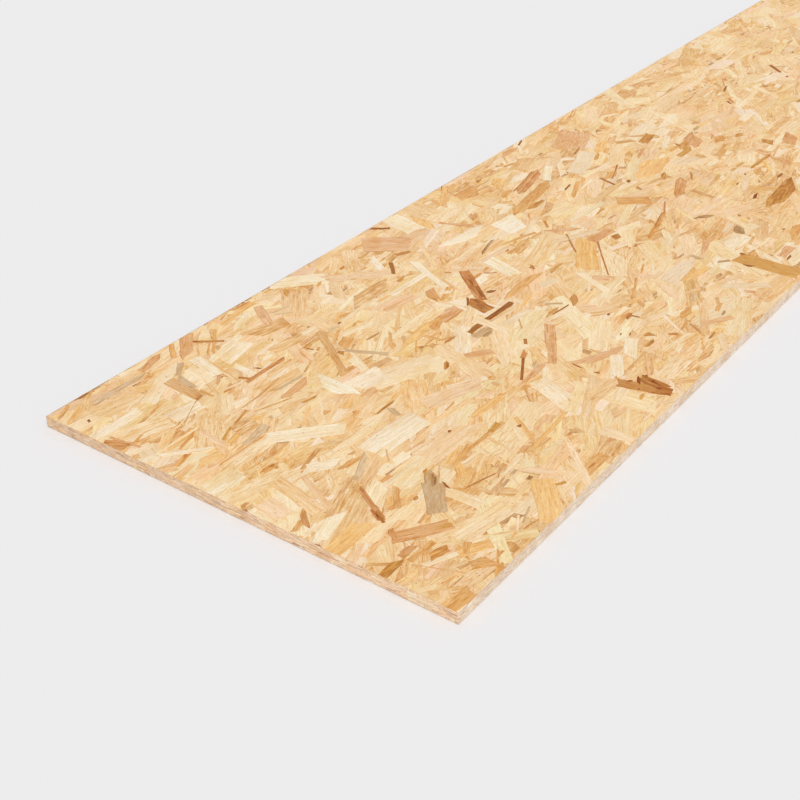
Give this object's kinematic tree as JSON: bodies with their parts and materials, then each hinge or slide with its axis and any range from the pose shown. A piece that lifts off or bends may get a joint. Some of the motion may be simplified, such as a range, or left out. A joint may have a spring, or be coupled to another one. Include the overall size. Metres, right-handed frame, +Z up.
{
  "type": "osb panel",
  "caption": "Flat square-edged panel of oriented strand board, pressed from wood strands and sawn square, for floors, walls and shelves.",
  "frame": {"origin": "on the underside, below the middle of the panel", "axes": "+Y along the length, away from the near end; +X across the width, to the right seen from the near end; +Z up, out of the upper face"},
  "size_m": [0.625, 2.5, 0.016],
  "materials": {
    "osb": "pressed wood strands, matt to silky, with sawn matt edges"
  },
  "bodies": {
    "root": {"osb_panel": "osb"}
  },
  "joints": []
}
